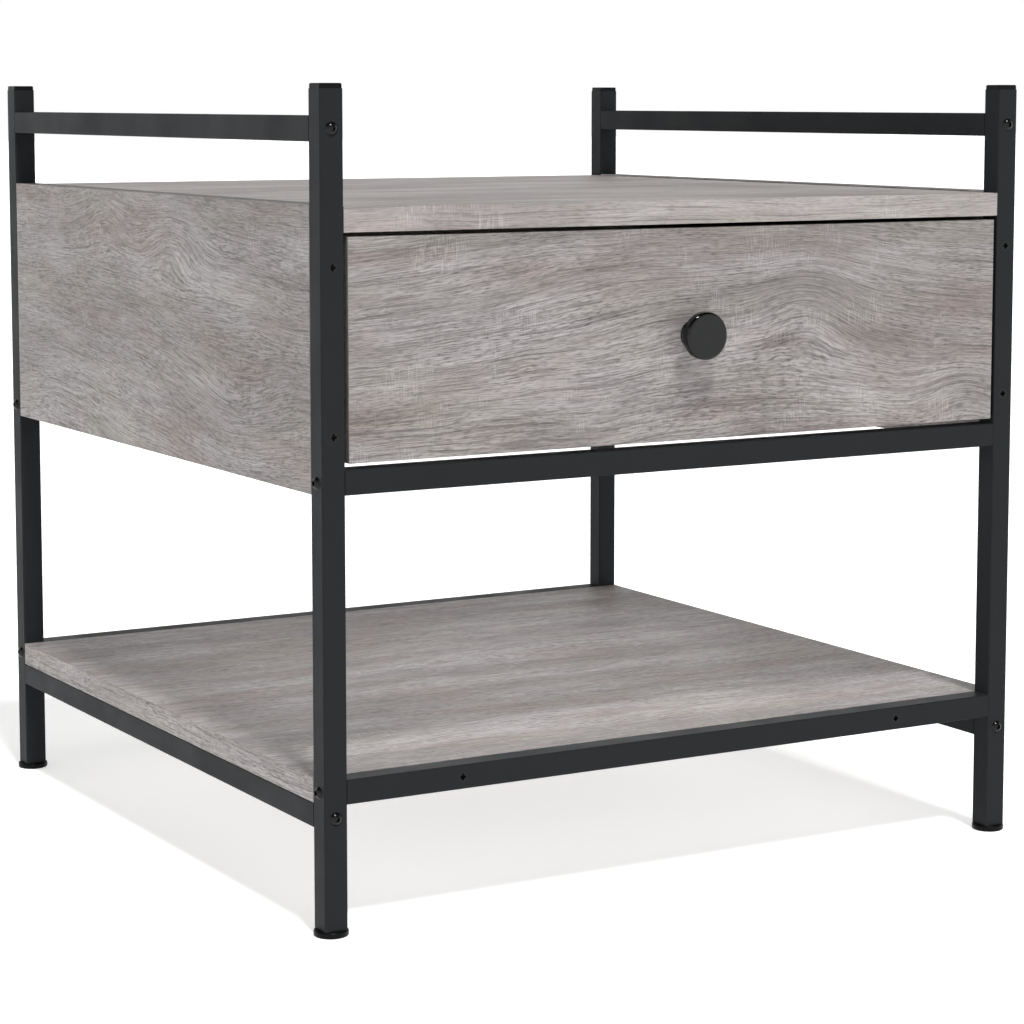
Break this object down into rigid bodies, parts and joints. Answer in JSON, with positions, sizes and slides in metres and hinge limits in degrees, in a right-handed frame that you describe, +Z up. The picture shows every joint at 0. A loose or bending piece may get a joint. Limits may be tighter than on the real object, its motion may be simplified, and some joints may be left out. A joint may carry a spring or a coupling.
{
  "type": "side table with drawer",
  "caption": "Low square side table: black square-tube frame with side gallery rails, grey oak boards, a drawer on telescopic slides and an open lower shelf.",
  "frame": {"origin": "on the floor, under the middle of the whole table, knob and feet included", "axes": "+Z up, +Y towards the back, so the drawer opens along -Y, and +X to the right of someone facing the drawer"},
  "size_m": [0.516, 0.531, 0.5],
  "materials": {
    "powder_coated_steel": "satin black powder coat",
    "black_plastic": "moulded black polyethylene",
    "grey_oak_laminate": "grey oak melamine laminate with an embossed grain",
    "grey_board": "plain grey melamine board",
    "hardboard": "thin board with a printed grey face",
    "glossy_black_knob": "glossy black lacquer",
    "black_oxide_bolts": "glossy black finish on steel",
    "zinc_plated_steel": "bright zinc plating",
    "zinc_casting": "plain die-cast zinc",
    "bearing_steel": "polished steel"
  },
  "bodies": {
    "frame": {"post_front_left": "powder_coated_steel", "post_front_right": "powder_coated_steel", "post_back_left": "powder_coated_steel", "post_back_right": "powder_coated_steel", "top_rail_left": "powder_coated_steel", "top_rail_right": "powder_coated_steel", "lower_rail_left": "powder_coated_steel", "lower_rail_right": "powder_coated_steel", "mid_rail_front": "powder_coated_steel", "mid_rail_back": "powder_coated_steel", "lower_rail_front": "powder_coated_steel", "lower_rail_back": "powder_coated_steel", "post_cap_front_left": "black_plastic", "post_cap_front_right": "black_plastic", "post_cap_back_left": "black_plastic", "post_cap_back_right": "black_plastic", "foot_front_left": "black_plastic", "foot_front_right": "black_plastic", "foot_back_left": "black_plastic", "foot_back_right": "black_plastic", "side_panel_left": "grey_oak_laminate", "side_panel_right": "grey_oak_laminate", "top_board": "grey_oak_laminate", "shelf": "grey_oak_laminate", "back_panel": "hardboard", "side_rail_bolts": "black_oxide_bolts", "cross_rail_bolts": "black_oxide_bolts", "panel_screws": "black_oxide_bolts", "shelf_screws": "black_oxide_bolts", "rail_end_plugs": "zinc_plated_steel", "back_panel_screws": "zinc_plated_steel", "panel_slide_screws": "zinc_plated_steel", "slide_outer_left": "zinc_plated_steel", "slide_outer_right": "zinc_plated_steel", "top_cam_bolts": "zinc_plated_steel", "top_cams": "zinc_casting"},
    "drawer": {"drawer_front": "grey_oak_laminate", "drawer_side_left": "grey_board", "drawer_side_right": "grey_board", "drawer_back": "grey_board", "drawer_bottom": "hardboard", "knob": "glossy_black_knob", "knob_screw": "zinc_plated_steel", "drawer_cams": "zinc_casting", "drawer_cam_bolts": "zinc_plated_steel", "drawer_back_screws": "zinc_plated_steel", "slide_inner_left": "zinc_plated_steel", "slide_inner_right": "zinc_plated_steel", "drawer_slide_screws": "zinc_plated_steel"},
    "left_slide_middle": {"slide_middle_left": "zinc_plated_steel"},
    "left_outer_cage": {"outer_left_cage": "zinc_plated_steel", "outer_left_balls": "bearing_steel"},
    "left_inner_cage": {"inner_left_cage": "zinc_plated_steel", "inner_left_balls": "bearing_steel"},
    "right_slide_middle": {"slide_middle_right": "zinc_plated_steel"},
    "right_outer_cage": {"outer_right_cage": "zinc_plated_steel", "outer_right_balls": "bearing_steel"},
    "right_inner_cage": {"inner_right_cage": "zinc_plated_steel", "inner_right_balls": "bearing_steel"}
  },
  "joints": [
    {"name": "drawer_slide", "type": "slide", "parent": "frame", "child": "drawer", "axis": [0, -1, 0], "range_m": [0, 0.38]},
    {"name": "left_slide_middle_travel", "type": "slide", "parent": "frame", "child": "left_slide_middle", "axis": [0, -1, 0], "range_m": [0, 0.19]},
    {"name": "left_outer_cage_travel", "type": "slide", "parent": "frame", "child": "left_outer_cage", "axis": [0, -1, 0], "range_m": [0, 0.095]},
    {"name": "left_inner_cage_travel", "type": "slide", "parent": "frame", "child": "left_inner_cage", "axis": [0, -1, 0], "range_m": [0, 0.285]},
    {"name": "right_slide_middle_travel", "type": "slide", "parent": "frame", "child": "right_slide_middle", "axis": [0, -1, 0], "range_m": [0, 0.19]},
    {"name": "right_outer_cage_travel", "type": "slide", "parent": "frame", "child": "right_outer_cage", "axis": [0, -1, 0], "range_m": [0, 0.095]},
    {"name": "right_inner_cage_travel", "type": "slide", "parent": "frame", "child": "right_inner_cage", "axis": [0, -1, 0], "range_m": [0, 0.285]}
  ],
  "couplings": [
    {"joint": "left_slide_middle_travel", "follows": "drawer_slide", "ratio": 0.5},
    {"joint": "left_outer_cage_travel", "follows": "drawer_slide", "ratio": 0.25},
    {"joint": "left_inner_cage_travel", "follows": "drawer_slide", "ratio": 0.75},
    {"joint": "right_slide_middle_travel", "follows": "drawer_slide", "ratio": 0.5},
    {"joint": "right_outer_cage_travel", "follows": "drawer_slide", "ratio": 0.25},
    {"joint": "right_inner_cage_travel", "follows": "drawer_slide", "ratio": 0.75}
  ]
}
